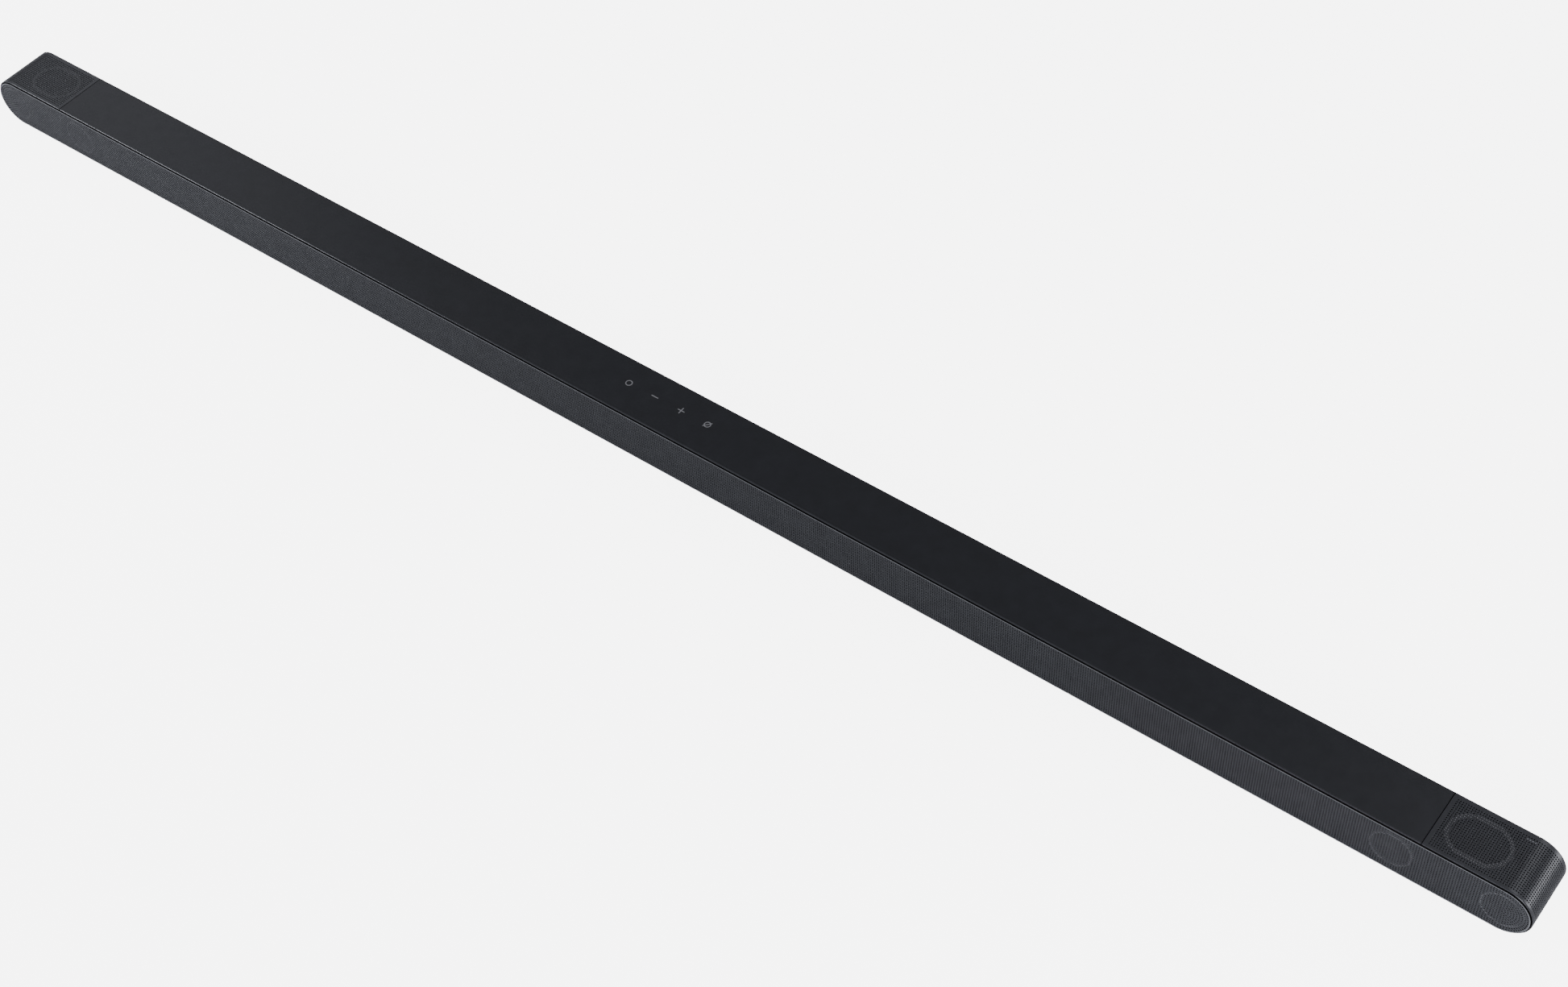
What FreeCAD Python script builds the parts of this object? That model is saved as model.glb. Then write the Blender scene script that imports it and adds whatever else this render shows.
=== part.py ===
"""Slim soundbar with fully rounded ends, front and upward drivers, and perforated grilles.

Millimetres. X runs along the bar, the front faces -Y, +Z is up.
The origin is on the surface that the bar stands on, below the bar's centre.
"""

import FreeCAD, Part
import math
import os

from FreeCAD import Vector

# ---- overall size ----
LENGTH = 1160.0
DEPTH = 39.9
HEIGHT = 38.0
FOOT_STAND = 1.8                                  # how far the feet lift the body

# ---- housing ----
BODY_HEIGHT = HEIGHT - FOOT_STAND
END_RADIUS = BODY_HEIGHT / 2                      # the ends are half circles
END_X = LENGTH / 2 - END_RADIUS                   # centre of an end's half circle
MID_Z = FOOT_STAND + END_RADIUS
FRONT_Y = -DEPTH / 2
BACK_Y = DEPTH / 2
GRILLE_PROUD = 0.8                                # the front grille stands in front of the covers
COVER_FRONT_Y = FRONT_Y + GRILLE_PROUD
WALL = 1.4
FIT_GAP = 0.1                                     # play between pieces that slot together
SEAM = 0.3                                        # open line between neighbouring covers
TOP_SEAM_X = 514.0                                # where the plain top meets the end grilles
BOTTOM_SEAM_X = 540.0
EDGE_ROUND = 0.25
TOP_INSIDE_Z = HEIGHT - WALL
FLOOR_Z = FOOT_STAND + WALL                       # inner face of the bottom cover

# ---- front: thin lip of the covers, shadow gap, grille and baffle ----
LIP = 0.6
GRILLE_INSET = 1.2
GRILLE_SHEET = 0.8
GRILLE_SKIRT_Y = -17.2
BAFFLE_INSET = LIP + FIT_GAP
BAFFLE_FRONT_Y = -16.9
BAFFLE_BACK_Y = -14.9
STEP_Y = BAFFLE_BACK_Y + FIT_GAP                  # the lip's rebate ends here
STIFFENER_DEPTH = 2.9
STIFFENER_INSET = WALL + 0.2
STIFFENER_WALL = 1.4
UP_NOTCH = 19.5                                   # half width left free for an upward driver

# ---- rear cover and port recess ----
REAR_INSET = WALL + FIT_GAP
REAR_RECESS = 0.6
REAR_PLATE = 2.0
REAR_OUT_Y = BACK_Y - REAR_RECESS
REAR_IN_Y = REAR_OUT_Y - REAR_PLATE
PORT_HALF_WIDTH = 44.5
PORT_LOW_Z = 10.4
PORT_HIGH_Z = 29.4
PORT_WALL = 1.5
PORT_END_Y = 6.85                                 # inner face of the recess's end wall

# ---- drivers: radii and heights from the flange's seat, outward positive ----
ROUND_RIM = 8.4                                   # radius of the cone's rim
OVAL_RIM = 9.45
OVAL_STRETCH = 8.5                                # straight length between the oval's half circles
SURROUND_WIDTH = 3.0
SURROUND_EDGE = 0.6                               # glued edge on the flange
FLANGE_EXTRA = 4.9                                # flange radius beyond the cone's rim
FLANGE_THICK = 1.2
GASKET_THICK = 0.3
RING_START = 0.1                                  # spacer ring, outside the surround's roll
RING_WIDTH = 1.1
ROUND_RING_TOP = 3.05                             # just short of the front grille
OVAL_RING_TOP = 2.8
RIM_GAP = 0.1                                     # between the moving rim and the surround
EAR_RADIUS = 2.0
EAR_ROUND_AT = 9.9                                # x and y of a round driver's screw ears
EAR_OVAL_AT = (14.9, 10.8)
COIL_OUTER = 5.3
COIL_INNER = 5.0
GAP_OUTER = 5.7                                   # magnetic gap that the coil moves in
GAP_INNER = 4.6
POT_RADIUS = 7.5
POT_TOP = -6.9
POT_BOTTOM = -13.1
GAP_FLOOR = -11.9
COIL_END = -9.5
CONE_BASE = -1.4
BASKET_WALL = 0.8
WINDOW_COUNT = 4

END_DRIVER_X = 563.0
INNER_DRIVER_X = 499.4
UP_DRIVER_X = 537.4
FRONT_SEAT_Y = -15.9
UP_SEAT_Z = 33.2

# ---- up-driver plate and sealed chamber ----
PLATE_TOP_Z = UP_SEAT_Z - GASKET_THICK
PLATE_THICK = 1.5
PLATE_X = (515.5, 557.5)
PLATE_Y = (-14.5, 17.2)
CHAMBER_X = (470.0, 515.0)
CHAMBER_Y = (-14.8, 16.6)
CHAMBER_Z = (4.4, 35.4)
CHAMBER_WALL = 1.5

# ---- electronics ----
BOARD_THICK = 1.6
BOARD_Z = 9.0
BOARD_Y = (-11.8, 3.4)
MAIN_BOARD_X = (-95.0, 75.0)
AMPLIFIER_X = (95.0, 235.0)
POWER_X = (-235.0, -110.0)
STANDOFF_RADIUS = 2.5
BOARD_HOLE_INSET = 2.4
SMALL_BOARD_THICK = 1.2
LOOM_RADIUS = 1.4
LOOM_Y = 5.0
LOOM_Z = 5.0
LOOM_TOP_Z = 14.0
LOOM_BEND = 4.0
LIGHT_X = (557.2, 558.7, 560.2, 561.7)
LIGHT_Y = 15.0
LIGHT_RADIUS = 0.45

# ---- fasteners, inserts and feet ----
REAR_SCREW_X = (90.0, 240.0, 390.0, 525.0)
REAR_SCREW_Z = 7.2
REAR_BOSS = (7.0, 7.0)                            # width along X and height above the floor
INSERT_X = 350.0
INSERT_Y = -4.0
INSERT_LENGTH = 8.0
INSERT_RADIUS = 3.2
M4_RADIUS = 2.0
FOOT_X = (150.0, 450.0)
FOOT_SIZE = (60.0, 16.0)
FOOT_RECESS = 0.4


# ---- shape helpers ----
def box(x, y, z):
    """Box between pairs of limits."""
    return Part.makeBox(x[1] - x[0], y[1] - y[0], z[1] - z[0], Vector(x[0], y[0], z[0]))


def rod(radius, start, direction, length):
    return Part.makeCylinder(radius, length, Vector(*start), Vector(*direction))


def fused(shapes):
    """One clean solid from touching or overlapping pieces."""
    whole = shapes[0]
    for shape in shapes[1:]:
        whole = whole.fuse(shape)
    return whole.removeSplitter()


def stadium_face(half_straight, radius):
    """Face in the XY plane, round at both X ends."""
    right = Part.Arc(
        Vector(half_straight, -radius, 0),
        Vector(half_straight + radius, 0, 0),
        Vector(half_straight, radius, 0),
    ).toShape()
    left = Part.Arc(
        Vector(-half_straight, radius, 0),
        Vector(-half_straight - radius, 0, 0),
        Vector(-half_straight, -radius, 0),
    ).toShape()
    top = Part.makeLine(Vector(half_straight, radius, 0), Vector(-half_straight, radius, 0))
    low = Part.makeLine(Vector(-half_straight, -radius, 0), Vector(half_straight, -radius, 0))
    return Part.Face(Part.Wire([right, top, left, low]))


def body_prism(inset, y_from, y_to):
    """The bar's outline, smaller by inset all round, between two depths."""
    face = stadium_face(END_X, END_RADIUS - inset)
    face.rotate(Vector(0, 0, 0), Vector(1, 0, 0), 90)
    face.translate(Vector(0, y_from, MID_Z))
    return face.extrude(Vector(0, y_to - y_from, 0))


def inset_of(point):
    """How far inside the bar's outline a point lies, seen from the front."""
    beyond = max(abs(point.x) - END_X, 0.0)
    return END_RADIUS - math.hypot(beyond, point.z - MID_Z)


def round_outline(shape, y, radius=EDGE_ROUND):
    """Rounds the outer edges that lie on the bar's outline at one depth."""
    edges = []
    for edge in shape.Edges:
        middle = edge.valueAt((edge.FirstParameter + edge.LastParameter) / 2)
        ends = [v.Point for v in edge.Vertexes]
        if all(abs(p.y - y) < 1e-4 and inset_of(p) < 1e-4 for p in [middle, *ends]):
            edges.append(edge)
    return shape.makeFillet(radius, edges)


def housing_tube():
    """The covers before they are parted: a tube with a thin lip at the front."""
    tube = body_prism(0, COVER_FRONT_Y, BACK_Y)
    tube = tube.cut(body_prism(WALL, COVER_FRONT_Y, BACK_Y))
    return tube.cut(body_prism(LIP, COVER_FRONT_Y, STEP_Y))


def mirrored(shape):
    return shape.mirror(Vector(0, 0, 0), Vector(1, 0, 0))


# ---- covers ----
def top_cover(tube):
    half = TOP_SEAM_X - SEAM / 2
    plate = tube.common(box((-half, half), (FRONT_Y, BACK_Y), (MID_Z, HEIGHT)))
    for y in (COVER_FRONT_Y, BACK_Y):
        plate = round_outline(plate, y)
    hook_y = (REAR_IN_Y - FIT_GAP - 1.2, REAR_IN_Y - FIT_GAP)
    hooks = []
    for x in (-455, -325, -195, -75, 75, 195, 325, 455):
        hooks.append(box((x - 6, x + 6), hook_y, (TOP_INSIDE_Z - 5.0, TOP_INSIDE_Z)))
    return fused([plate, *hooks])


def bottom_cover(tube):
    half = BOTTOM_SEAM_X - SEAM / 2
    plate = tube.common(box((-half, half), (FRONT_Y, BACK_Y), (FOOT_STAND, MID_Z)))
    for y in (COVER_FRONT_Y, BACK_Y):
        plate = round_outline(plate, y)
    posts = [plate]
    for x in rear_screw_places():
        posts.append(box(
            (x - REAR_BOSS[0] / 2, x + REAR_BOSS[0] / 2),
            (9.5, REAR_IN_Y - FIT_GAP),
            (FLOOR_Z, FLOOR_Z + REAR_BOSS[1]),
        ))
    for x, y in board_hole_places():
        posts.append(rod(STANDOFF_RADIUS, (x, y, FLOOR_Z), (0, 0, 1), BOARD_Z - FLOOR_Z))
    for x in (-INSERT_X, INSERT_X):
        start = (x, INSERT_Y, FLOOR_Z)
        length = FOOT_STAND + INSERT_LENGTH - FLOOR_Z
        posts.append(rod(INSERT_RADIUS + 2.0, start, (0, 0, 1), length))
    cover = fused(posts)
    for x in rear_screw_places():
        cover = cover.cut(rod(1.05, (x, 9.5, REAR_SCREW_Z), (0, 1, 0), REAR_IN_Y - 9.5))
    for x, y in board_hole_places():
        cover = cover.cut(rod(0.9, (x, y, FLOOR_Z + 1.0), (0, 0, 1), BOARD_Z))
    for x in (-INSERT_X, INSERT_X):
        start = (x, INSERT_Y, FOOT_STAND)
        cover = cover.cut(rod(INSERT_RADIUS, start, (0, 0, 1), INSERT_LENGTH))
    for x in foot_places():
        cover = cover.cut(foot_pad(x, FOOT_STAND, FOOT_STAND + FOOT_RECESS, FIT_GAP))
    return cover


def end_grille(tube):
    """Right end: over the top, round the end and back under to the bottom cover."""
    start = TOP_SEAM_X + SEAM / 2
    shell = tube.common(box((start, LENGTH), (FRONT_Y, BACK_Y), (0, HEIGHT)))
    under = box((0, BOTTOM_SEAM_X + SEAM / 2), (FRONT_Y, BACK_Y), (0, MID_Z))
    shell = shell.cut(under)
    for y in (COVER_FRONT_Y, BACK_Y):
        shell = round_outline(shell, y)
    return shell


def rear_cover():
    plate = body_prism(REAR_INSET, REAR_IN_Y, REAR_OUT_Y)
    pocket_outer = box(
        (-PORT_HALF_WIDTH - PORT_WALL, PORT_HALF_WIDTH + PORT_WALL),
        (PORT_END_Y - PORT_WALL, REAR_OUT_Y),
        (PORT_LOW_Z - PORT_WALL, PORT_HIGH_Z + PORT_WALL),
    )
    pocket_inner = box(
        (-PORT_HALF_WIDTH, PORT_HALF_WIDTH),
        (PORT_END_Y, REAR_OUT_Y),
        (PORT_LOW_Z, PORT_HIGH_Z),
    )
    cover = fused([plate, pocket_outer]).cut(pocket_inner)
    for x, z in SOCKETS:
        width, height = SOCKETS[(x, z)]
        cover = cover.cut(box(
            (x - width / 2 - FIT_GAP, x + width / 2 + FIT_GAP),
            (PORT_END_Y - PORT_WALL, PORT_END_Y),
            (z - FIT_GAP, z + height + FIT_GAP),
        ))
    for x in rear_screw_places():
        cover = cover.cut(rod(1.2, (x, REAR_IN_Y, REAR_SCREW_Z), (0, 1, 0), REAR_PLATE))
        cover = cover.cut(rod(2.4, (x, REAR_OUT_Y - 1.2, REAR_SCREW_Z), (0, 1, 0), 1.2))
    return cover


# ---- front ----
def front_grille():
    face = body_prism(GRILLE_INSET, FRONT_Y, GRILLE_SKIRT_Y)
    hollow = body_prism(GRILLE_INSET + GRILLE_SHEET, FRONT_Y + GRILLE_SHEET, GRILLE_SKIRT_Y)
    grille = face.cut(hollow)
    edges = []
    for edge in grille.Edges:
        points = [v.Point for v in edge.Vertexes]
        if all(abs(p.y - FRONT_Y) < 1e-4 for p in points):
            edges.append(edge)
    return grille.makeFillet(0.5, edges)


def baffle():
    plate = body_prism(BAFFLE_INSET, BAFFLE_FRONT_Y, BAFFLE_BACK_Y)
    stiffener = body_prism(STIFFENER_INSET, BAFFLE_BACK_Y, BAFFLE_BACK_Y + STIFFENER_DEPTH)
    stiffener = stiffener.cut(body_prism(
        STIFFENER_INSET + STIFFENER_WALL, BAFFLE_BACK_Y, BAFFLE_BACK_Y + STIFFENER_DEPTH
    ))
    whole = fused([plate, stiffener])
    pocket_floor_y = FRONT_SEAT_Y + GASKET_THICK
    for x in front_driver_places():
        seat = flange_outline(ROUND_RIM, 0, round_ears(), 0.15)
        seat = seat.extrude(Vector(0, 0, pocket_floor_y - BAFFLE_FRONT_Y))
        seat.rotate(Vector(0, 0, 0), Vector(1, 0, 0), -90)
        seat.translate(Vector(x, BAFFLE_FRONT_Y, MID_Z))
        whole = whole.cut(seat)
        whole = whole.cut(rod(12.4, (x, BAFFLE_FRONT_Y, MID_Z), (0, 1, 0), 4.0))
        for dx, dz in round_ears():
            start = (x + dx, BAFFLE_FRONT_Y, MID_Z + dz)
            whole = whole.cut(rod(0.75, start, (0, 1, 0), 4.0))
    for x in (-UP_DRIVER_X, UP_DRIVER_X):
        notch = box((x - UP_NOTCH, x + UP_NOTCH), (BAFFLE_BACK_Y, BAFFLE_BACK_Y + 4), (34.6, HEIGHT))
        whole = whole.cut(notch)
    return whole


# ---- drivers, built with the axis on +Z and the flange's seat at z = 0 ----
def round_ears():
    a = EAR_ROUND_AT
    return [(-a, -a), (a, -a), (-a, a), (a, a)]


def oval_ears():
    a, b = EAR_OVAL_AT
    return [(-a, -b), (a, -b), (-a, b), (a, b)]


def flange_outline(rim, stretch, ears, grow=0.0):
    """Flat face of the flange with its screw ears."""
    face = stadium_face(stretch / 2, rim + FLANGE_EXTRA + grow) if stretch else disc(
        rim + FLANGE_EXTRA + grow, 0, 0)
    for x, y in ears:
        face = face.fuse(disc(EAR_RADIUS + grow, x, y))
    return face.removeSplitter()


def disc(radius, x, y):
    return Part.Face(Part.Wire(Part.makeCircle(radius, Vector(x, y, 0))))


def turned(profile, stretch):
    """Turns a closed (radius, height) profile about Z, then pulls it apart along X."""
    points = [Vector(r, 0, h) for r, h in profile]
    face = Part.Face(Part.makePolygon([*points, points[0]]))
    if not stretch:
        return face.revolve(Vector(0, 0, 0), Vector(0, 0, 1), 360)
    face.rotate(Vector(0, 0, 0), Vector(0, 0, 1), -90)
    right = face.revolve(Vector(0, 0, 0), Vector(0, 0, 1), 180)
    right.translate(Vector(stretch / 2, 0, 0))
    left = mirrored(right)
    front = face.copy()
    front.translate(Vector(-stretch / 2, 0, 0))
    front = front.extrude(Vector(stretch, 0, 0))
    back = front.mirror(Vector(0, 0, 0), Vector(0, 1, 0))
    return fused([right, front, left, back])


def basket(rim, stretch, ears):
    """Driver frame: flange, open conical cage and the ring that holds the magnet."""
    flange = flange_outline(rim, stretch, ears).extrude(Vector(0, 0, FLANGE_THICK))
    mouth = rim + SURROUND_WIDTH
    opening = turned([(0, -1), (mouth, -1), (mouth, 5), (0, 5)], stretch)
    flange = flange.cut(opening)
    top = mouth + 0.3
    low = POT_RADIUS + 0.6
    cage = turned([
        (top - BASKET_WALL, 0.6),
        (top, 0.6),
        (top, -1.0),
        (low, POT_TOP + 0.6),
        (low, POT_TOP),
        (GAP_OUTER + 0.3, POT_TOP),
        (GAP_OUTER + 0.3, POT_TOP + 0.6),
        (low - BASKET_WALL, POT_TOP + 0.6),
        (top - BASKET_WALL, -1.0),
    ], stretch)
    for i in range(WINDOW_COUNT):
        window = box((6.5, 30), (-3.0, 3.0), (POT_TOP + 1.4, -1.4))
        window.translate(Vector(stretch / 2, 0, 0))
        window.rotate(Vector(0, 0, 0), Vector(0, 0, 1), 360 / WINDOW_COUNT * i)
        cage = cage.cut(window)
    frame = fused([flange, cage])
    for x, y in ears:
        frame = frame.cut(rod(0.8, (x, y, -1), (0, 0, 1), 4))
    return frame


def magnet(stretch):
    """Steel pot with its centre pole; the coil moves in the ring-shaped gap."""
    pot = turned([(0, POT_BOTTOM), (POT_RADIUS, POT_BOTTOM), (POT_RADIUS, POT_TOP), (0, POT_TOP)], stretch)
    gap = turned([
        (GAP_INNER, GAP_FLOOR), (GAP_OUTER, GAP_FLOOR), (GAP_OUTER, 0), (GAP_INNER, 0),
    ], stretch)
    return pot.cut(gap)


def surround(rim, stretch):
    """Flexible ring from the flange up to the cone's rim."""
    outer = rim + SURROUND_WIDTH
    edge = outer + SURROUND_EDGE
    return turned([
        (rim + RIM_GAP, 1.6),
        (outer, FLANGE_THICK),
        (edge, FLANGE_THICK),
        (edge, FLANGE_THICK + 0.35),
        (outer, FLANGE_THICK + 0.35),
        (rim + RIM_GAP, 1.9),
    ], stretch)


def cone(rim, stretch):
    """Moving part: cone, dust dome and voice coil in one piece."""
    dome = []
    for i in range(7):
        r = COIL_INNER * (1 - i / 6)
        dome.append((r, 0.1 + 1.1 * (1 - (r / COIL_INNER) ** 2)))
    under = [(r, h - 0.35) for r, h in reversed(dome)]
    return turned([
        (rim, 1.9),
        (rim - 0.6, 1.9),
        (COIL_OUTER + 0.2, CONE_BASE + 0.7),
        (COIL_INNER, dome[0][1]),
        *dome[1:],
        *under[:-1],
        (COIL_INNER, -0.35),
        (COIL_INNER, COIL_END),
        (COIL_OUTER, COIL_END),
        (COIL_OUTER, CONE_BASE),
        (rim, 1.4),
    ], stretch)


def gasket(rim, stretch):
    inner = rim + SURROUND_WIDTH + 0.6
    outer = rim + FLANGE_EXTRA - 0.2
    return turned([(inner, -GASKET_THICK), (outer, -GASKET_THICK), (outer, 0), (inner, 0)], stretch)


def spacer_ring(rim, stretch, top):
    """Ring on the surround's glued edge that keeps the driver off the grille."""
    inner = rim + SURROUND_WIDTH + RING_START
    outer = inner + RING_WIDTH
    low = FLANGE_THICK + 0.35
    return turned([(inner, low), (outer, low), (outer, top), (inner, top)], stretch)


def driver_screw():
    head = rod(1.3, (0, 0, FLANGE_THICK), (0, 0, 1), 0.8)
    return fused([head, rod(0.7, (0, 0, -0.9), (0, 0, 1), FLANGE_THICK + 0.9)])


def facing_front(shape, x):
    """Places a driver piece on the baffle, firing towards -Y."""
    placed = shape.copy()
    placed.rotate(Vector(0, 0, 0), Vector(1, 0, 0), 90)
    placed.translate(Vector(x, FRONT_SEAT_Y, MID_Z))
    return placed


def facing_up(shape, x):
    placed = shape.copy()
    placed.translate(Vector(x, 0, UP_SEAT_Z))
    return placed


# ---- places that repeat ----
def front_driver_places():
    return [-END_DRIVER_X, -INNER_DRIVER_X, INNER_DRIVER_X, END_DRIVER_X]


def rear_screw_places():
    return [side * x for side in (-1, 1) for x in REAR_SCREW_X]


def foot_places():
    return [side * x for side in (-1, 1) for x in FOOT_X]


def board_hole_places():
    places = []
    for x in (MAIN_BOARD_X, AMPLIFIER_X, POWER_X):
        for hole_x in (x[0] + BOARD_HOLE_INSET, x[1] - BOARD_HOLE_INSET):
            for hole_y in (BOARD_Y[0] + BOARD_HOLE_INSET, BOARD_Y[1] - BOARD_HOLE_INSET):
                places.append((hole_x, hole_y))
    return places


# ---- inside the ends ----
def acoustic_chamber():
    """Right side: box open at the front, closed against the baffle."""
    outer = box(CHAMBER_X, CHAMBER_Y, CHAMBER_Z)
    inner = box(
        (CHAMBER_X[0] + CHAMBER_WALL, CHAMBER_X[1] - CHAMBER_WALL),
        (CHAMBER_Y[0], CHAMBER_Y[1] - CHAMBER_WALL),
        (CHAMBER_Z[0] + CHAMBER_WALL, CHAMBER_Z[1] - CHAMBER_WALL),
    )
    recess = box(CHAMBER_X, (CHAMBER_Y[0], BAFFLE_BACK_Y + STIFFENER_DEPTH + FIT_GAP), (0, 5.0))
    top_recess = box(
        CHAMBER_X, (CHAMBER_Y[0], BAFFLE_BACK_Y + STIFFENER_DEPTH + FIT_GAP), (34.9, HEIGHT)
    )
    return outer.cut(inner).cut(recess).cut(top_recess)


def up_plate():
    """Right side: plate that the upward driver sits on, with its legs."""
    plate_low = PLATE_TOP_Z - PLATE_THICK
    plate = box(PLATE_X, PLATE_Y, (plate_low, PLATE_TOP_Z))
    wall = box((PLATE_X[0], PLATE_X[0] + 1.5), (-11.5, PLATE_Y[1]), (FLOOR_Z, plate_low))
    leg = box((PLATE_X[1] - 3.0, PLATE_X[1]), (7.0, PLATE_Y[1]), (FLOOR_Z, plate_low))
    whole = fused([plate, wall, leg])
    hole = turned([(0, -4), (OVAL_RIM + 3.5, -4), (OVAL_RIM + 3.5, 4), (0, 4)], OVAL_STRETCH)
    whole = whole.cut(facing_up(hole, UP_DRIVER_X))
    for x, y in oval_ears():
        whole = whole.cut(rod(0.75, (UP_DRIVER_X + x, y, plate_low), (0, 0, 1), 4))
    return whole


# ---- electronics ----
# centre x and low z of each socket, with its width and height
SOCKETS = {
    (-26.0, 10.6): (9.0, 11.0),
    (0.0, 10.6): (15.0, 6.0),
    (22.0, 10.6): (8.0, 3.4),
}


def board(x, parts):
    """Circuit board with simple bodies for its larger parts."""
    plate = box(x, BOARD_Y, (BOARD_Z, BOARD_Z + BOARD_THICK))
    whole = fused([plate, *parts]) if parts else plate
    for hole_x, hole_y in board_hole_places():
        if x[0] < hole_x < x[1]:
            whole = whole.cut(rod(1.0, (hole_x, hole_y, BOARD_Z - 1), (0, 0, 1), 5))
    return whole


def chip(x, y, width, depth, height):
    top = BOARD_Z + BOARD_THICK
    return box((x - width / 2, x + width / 2), (y - depth / 2, y + depth / 2), (top, top + height))


def capacitor(x, y, radius, height):
    return rod(radius, (x, y, BOARD_Z + BOARD_THICK), (0, 0, 1), height)


def main_board():
    parts = [chip(-60, -6, 14, 9, 1.2), chip(-40, -7, 10, 10, 1.0), chip(45, -6, 12, 8, 1.6)]
    parts.append(chip(0, -4.6, 12, 1.6, 1.2))
    return board(MAIN_BOARD_X, parts)


def amplifier_board():
    parts = [chip(125 + 40 * i, -4, 9, 9, 1.4) for i in range(3)]
    return board(AMPLIFIER_X, parts)


def power_board():
    parts = [capacitor(-215 + 14 * i, -5, 4.5, 15) for i in range(3)]
    parts.append(chip(-150, -5, 14, 10, 8))
    parts.append(chip(-128, -5, 10, 10, 6))
    return board(POWER_X, parts)


def heat_spreader():
    """Finned aluminium bar on the amplifier chips."""
    low = BOARD_Z + BOARD_THICK + 1.4
    base = box((115, 215), (-9.5, 1.5), (low, low + 1.5))
    fins = [box((115, 215), (-9.5 + 2.45 * i, -8.3 + 2.45 * i), (low + 1.5, low + 9)) for i in range(5)]
    return fused([base, *fins])


def socket(place):
    """Socket shell with an open mouth towards +Y."""
    x, z = place
    width, height = SOCKETS[place]
    shell = box((x - width / 2, x + width / 2), (-3.0, PORT_END_Y), (z, z + height))
    if height > width:
        mouth_z = z + height / 2
        shell = shell.cut(rod(2.8, (x, PORT_END_Y - 8, mouth_z), (0, 1, 0), 8))
        return fused([shell, rod(1.0, (x, PORT_END_Y - 8.5, mouth_z), (0, 1, 0), 7.5)])
    wall = 0.6
    mouth = box(
        (x - width / 2 + wall, x + width / 2 - wall),
        (PORT_END_Y - 8, PORT_END_Y),
        (z + wall, z + height - wall),
    )
    tongue_z = z + height / 2
    tongue = box(
        (x - width / 3, x + width / 3),
        (PORT_END_Y - 8.5, PORT_END_Y - 1),
        (tongue_z - 0.3, tongue_z + 0.3),
    )
    return fused([shell.cut(mouth), tongue])


def loom(side):
    """Wire bundle from behind the amplifier board, down and along the floor to a chamber."""
    start_x = (AMPLIFIER_X[0] + AMPLIFIER_X[1]) / 2 + side * 6
    end_x = side * (CHAMBER_X[0] - 0.5)
    corner = Vector(start_x, LOOM_Y, LOOM_Z)
    high = Vector(start_x, LOOM_Y, LOOM_TOP_Z)
    arc_start = corner + Vector(0, 0, LOOM_BEND)
    arc_end = corner + Vector(side * LOOM_BEND, 0, 0)
    far = LOOM_BEND * (1 - math.sqrt(0.5))
    middle = corner + Vector(side * far, 0, far)
    path = Part.Wire([
        Part.LineSegment(high, arc_start).toShape(),
        Part.Arc(arc_start, middle, arc_end).toShape(),
        Part.LineSegment(arc_end, Vector(end_x, LOOM_Y, LOOM_Z)).toShape(),
    ])
    section = Part.Wire(Part.makeCircle(LOOM_RADIUS, high, Vector(0, 0, -1)))
    return path.makePipeShell([section], True, False)


def indicator_board():
    x = (PLATE_X[1] - 1.9, PLATE_X[1] + 5.6)
    return box(x, (LIGHT_Y - 1.2, PLATE_Y[1] - 0.2), (PLATE_TOP_Z, PLATE_TOP_Z + SMALL_BOARD_THICK))


def light_guide():
    """Four clear rods from the indicator board to the underside of the right end grille."""
    low = PLATE_TOP_Z + SMALL_BOARD_THICK
    rods = [rod(LIGHT_RADIUS, (x, LIGHT_Y, low + 0.6), (0, 0, 1), TOP_INSIDE_Z - low - 0.6) for x in LIGHT_X]
    bar = box((LIGHT_X[0] - 0.8, LIGHT_X[-1] + 0.8), (LIGHT_Y - 0.9, LIGHT_Y + 0.9), (low, low + 0.6))
    return fused([bar, *rods])


def microphone_board():
    """Right side: small board with its microphone can, at the inner back corner."""
    low = PLATE_TOP_Z
    plate = box((PLATE_X[0] + 0.4, PLATE_X[0] + 7), (13.2, 17.0), (low, low + SMALL_BOARD_THICK))
    can = box((PLATE_X[0] + 1.6, PLATE_X[0] + 5.2), (14.0, 16.6), (low + 1.0, low + 2.4))
    return fused([plate, can])


# ---- fasteners and feet ----
def rear_screws():
    """Pan-head screws, sunk flush into the rear cover."""
    screws = []
    for x in rear_screw_places():
        seat = REAR_OUT_Y - 1.2
        head = rod(2.2, (x, seat, REAR_SCREW_Z), (0, 1, 0), 1.1)
        shank = rod(1.0, (x, 10.5, REAR_SCREW_Z), (0, 1, 0), seat - 10.5)
        slot = box((x - 1.3, x + 1.3), (seat + 0.5, seat + 2), (REAR_SCREW_Z - 0.3, REAR_SCREW_Z + 0.3))
        cross = box((x - 0.3, x + 0.3), (seat + 0.5, seat + 2), (REAR_SCREW_Z - 1.3, REAR_SCREW_Z + 1.3))
        screws.append(fused([head, shank]).cut(slot).cut(cross))
    return Part.makeCompound(screws)


def board_screws():
    screws = []
    top = BOARD_Z + BOARD_THICK
    for x, y in board_hole_places():
        head = rod(1.8, (x, y, top), (0, 0, 1), 1.0)
        screws.append(fused([head, rod(0.85, (x, y, FLOOR_Z + 1.5), (0, 0, 1), top - FLOOR_Z - 1.5)]))
    return Part.makeCompound(screws)


def driver_screws():
    screws = []
    for x in front_driver_places():
        for dx, dz in round_ears():
            screw = facing_front(driver_screw(), x)
            screw.translate(Vector(dx, 0, dz))
            screws.append(screw)
    for x in (-UP_DRIVER_X, UP_DRIVER_X):
        for dx, dy in oval_ears():
            screw = facing_up(driver_screw(), x)
            screw.translate(Vector(dx, dy, 0))
            screws.append(screw)
    return Part.makeCompound(screws)


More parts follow.
